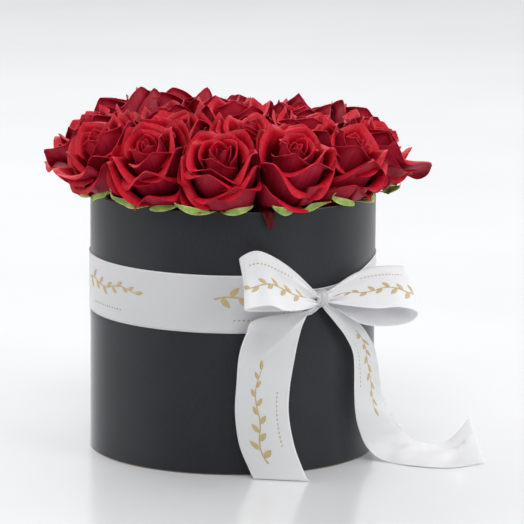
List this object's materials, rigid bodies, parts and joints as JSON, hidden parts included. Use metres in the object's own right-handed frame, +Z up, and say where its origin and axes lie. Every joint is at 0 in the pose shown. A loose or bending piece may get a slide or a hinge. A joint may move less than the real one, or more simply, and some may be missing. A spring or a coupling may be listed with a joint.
{
  "type": "flower box",
  "caption": "Round black flower box tied with a white ribbon bow, with a lift-out foam insert of red roses.",
  "frame": {"origin": "centre of the box's underside, on the surface that it stands on", "axes": "+Z up through the middle of the box, -Y towards the bow"},
  "size_m": [0.2438, 0.2741, 0.2462],
  "materials": {
    "board": "matt grey board",
    "cover_paper": "matt black covering paper with a fine grain",
    "lining_paper": "matt black lining paper",
    "ribbon": "white satin with a fine woven selvedge and gold printed sprigs",
    "pot": "thin black moulded plastic",
    "foam": "wet green floral foam",
    "petals": "velvety dark red petals",
    "greens": "waxy green stems and sepals"
  },
  "bodies": {
    "box": {"board_tube": "board", "base_disc": "board", "cover_paper": "cover_paper", "lining_paper": "lining_paper", "ribbon_band": "ribbon", "bow_knot": "ribbon", "bow_loop_left": "ribbon", "bow_loop_right": "ribbon", "tail_left": "ribbon", "tail_right": "ribbon"},
    "insert": {"liner_pot": "pot", "foam_lower": "foam", "foam_upper": "foam", "fallen_petal": "petals"},
    "rose_01": {"rose_01_bloom": "petals", "rose_01_stem": "greens"},
    "rose_02": {"rose_02_bloom": "petals", "rose_02_stem": "greens"},
    "rose_03": {"rose_03_bloom": "petals", "rose_03_stem": "greens"},
    "rose_04": {"rose_04_bloom": "petals", "rose_04_stem": "greens"},
    "rose_05": {"rose_05_bloom": "petals", "rose_05_stem": "greens"},
    "rose_06": {"rose_06_bloom": "petals", "rose_06_stem": "greens"},
    "rose_07": {"rose_07_bloom": "petals", "rose_07_stem": "greens"},
    "rose_08": {"rose_08_bloom": "petals", "rose_08_stem": "greens"},
    "rose_09": {"rose_09_bloom": "petals", "rose_09_stem": "greens"},
    "rose_10": {"rose_10_bloom": "petals", "rose_10_stem": "greens"},
    "rose_11": {"rose_11_bloom": "petals", "rose_11_stem": "greens"},
    "rose_12": {"rose_12_bloom": "petals", "rose_12_stem": "greens"},
    "rose_13": {"rose_13_bloom": "petals", "rose_13_stem": "greens"},
    "rose_14": {"rose_14_bloom": "petals", "rose_14_stem": "greens"},
    "rose_15": {"rose_15_bloom": "petals", "rose_15_stem": "greens"},
    "rose_16": {"rose_16_bloom": "petals", "rose_16_stem": "greens"},
    "rose_17": {"rose_17_bloom": "petals", "rose_17_stem": "greens"},
    "rose_18": {"rose_18_bloom": "petals", "rose_18_stem": "greens"},
    "rose_19": {"rose_19_bloom": "petals", "rose_19_stem": "greens"}
  },
  "joints": [
    {"name": "insert_lift", "type": "slide", "parent": "box", "child": "insert", "axis": [0, 0, 1], "range_m": [0, 0.185]},
    {"name": "rose_01_pull", "type": "slide", "parent": "insert", "child": "rose_01", "axis": [-0.3573, -0.411, 0.8387], "range_m": [0, 0.09]},
    {"name": "rose_02_pull", "type": "slide", "parent": "insert", "child": "rose_02", "axis": [-0.0954, -0.4908, 0.866], "range_m": [0, 0.09]},
    {"name": "rose_03_pull", "type": "slide", "parent": "insert", "child": "rose_03", "axis": [0.1628, -0.4728, 0.866], "range_m": [0, 0.09]},
    {"name": "rose_04_pull", "type": "slide", "parent": "insert", "child": "rose_04", "axis": [0.411, -0.3573, 0.8387], "range_m": [0, 0.09]},
    {"name": "rose_05_pull", "type": "slide", "parent": "insert", "child": "rose_05", "axis": [0.5346, -0.1039, 0.8387], "range_m": [0, 0.09]},
    {"name": "rose_06_pull", "type": "slide", "parent": "insert", "child": "rose_06", "axis": [0.487, 0.1677, 0.8572], "range_m": [0, 0.09]},
    {"name": "rose_07_pull", "type": "slide", "parent": "insert", "child": "rose_07", "axis": [0.3379, 0.3887, 0.8572], "range_m": [0, 0.09]},
    {"name": "rose_08_pull", "type": "slide", "parent": "insert", "child": "rose_08", "axis": [0.0983, 0.5056, 0.8572], "range_m": [0, 0.09]},
    {"name": "rose_09_pull", "type": "slide", "parent": "insert", "child": "rose_09", "axis": [-0.1725, 0.501, 0.848], "range_m": [0, 0.09]},
    {"name": "rose_10_pull", "type": "slide", "parent": "insert", "child": "rose_10", "axis": [-0.411, 0.3573, 0.8387], "range_m": [0, 0.09]},
    {"name": "rose_11_pull", "type": "slide", "parent": "insert", "child": "rose_11", "axis": [-0.5489, 0.1067, 0.829], "range_m": [0, 0.09]},
    {"name": "rose_12_pull", "type": "slide", "parent": "insert", "child": "rose_12", "axis": [-0.515, -0.1773, 0.8387], "range_m": [0, 0.09]},
    {"name": "rose_13_pull", "type": "slide", "parent": "insert", "child": "rose_13", "axis": [-0.0986, -0.2022, 0.9744], "range_m": [0, 0.09]},
    {"name": "rose_14_pull", "type": "slide", "parent": "insert", "child": "rose_14", "axis": [0.1258, -0.1865, 0.9744], "range_m": [0, 0.09]},
    {"name": "rose_15_pull", "type": "slide", "parent": "insert", "child": "rose_15", "axis": [0.2244, 0.0157, 0.9744], "range_m": [0, 0.09]},
    {"name": "rose_16_pull", "type": "slide", "parent": "insert", "child": "rose_16", "axis": [0.0986, 0.2022, 0.9744], "range_m": [0, 0.09]},
    {"name": "rose_17_pull", "type": "slide", "parent": "insert", "child": "rose_17", "axis": [-0.1258, 0.1865, 0.9744], "range_m": [0, 0.09]},
    {"name": "rose_18_pull", "type": "slide", "parent": "insert", "child": "rose_18", "axis": [-0.2244, -0.0157, 0.9744], "range_m": [0, 0.09]},
    {"name": "rose_19_pull", "type": "slide", "parent": "insert", "child": "rose_19", "axis": [0, 0, 1], "range_m": [0, 0.09]}
  ]
}
